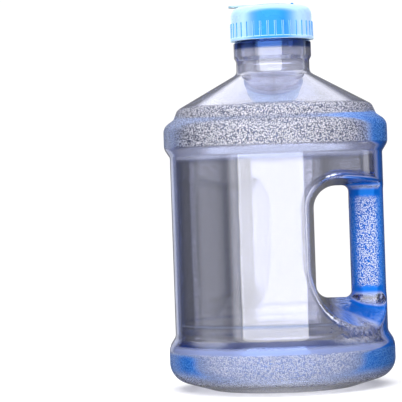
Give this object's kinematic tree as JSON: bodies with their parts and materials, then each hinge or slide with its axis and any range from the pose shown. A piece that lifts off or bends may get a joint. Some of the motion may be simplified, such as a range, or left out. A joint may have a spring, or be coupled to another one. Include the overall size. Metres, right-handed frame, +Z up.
{
  "type": "water jug",
  "caption": "Clear blue-tinted large water jug with a moulded-in side grip, ribbed base and shoulder rings, and a ribbed screw cap with a probe tube and stopper.",
  "frame": {"origin": "centre of the foot's standing plane, on the jug's axis", "axes": "+Z up along the jug's axis, +X towards the grip, +Y to the left of the grip seen from above with the grip to the right"},
  "size_m": [0.1702, 0.1702, 0.2886],
  "materials": {
    "clear_shell": "clear blue-tinted polycarbonate, glossy, with a fine moulded stipple on the shoulder, base and grip",
    "cap_plastic": "glossy moulded polyethylene",
    "cover_plastic": "glossy moulded polyethylene",
    "gasket_foam": "soft foamed liner",
    "stopper_plastic": "milky soft polyethylene"
  },
  "bodies": {
    "jug": {"jug_body": "clear_shell"},
    "gasket": {"cap_gasket": "gasket_foam"},
    "cap": {"screw_cap": "cap_plastic", "stopper_collar": "stopper_plastic"},
    "cover": {"dust_cover": "cover_plastic"},
    "plug": {"stopper": "stopper_plastic"}
  },
  "joints": [
    {"name": "cap_rise", "type": "slide", "parent": "jug", "child": "gasket", "axis": [0, 0, 1], "range_m": [0, 0.01]},
    {"name": "cap_turn", "type": "hinge", "parent": "gasket", "child": "cap", "pos_m": [0, 0, 0.2865], "axis": [0, 0, 1], "range_deg": [0, 900]},
    {"name": "cover_flip", "type": "hinge", "parent": "cap", "child": "cover", "pos_m": [0.016, 0, 0.2873], "axis": [0, 1, 0], "range_deg": [0, 150]},
    {"name": "stopper_swing", "type": "hinge", "parent": "cap", "child": "plug", "pos_m": [0.0139, 0, 0.2577], "axis": [0, -1, 0], "range_deg": [0, 105]}
  ],
  "couplings": [
    {"joint": "cap_rise", "follows": "cap_turn", "m_per_rad": 0.00063662}
  ]
}
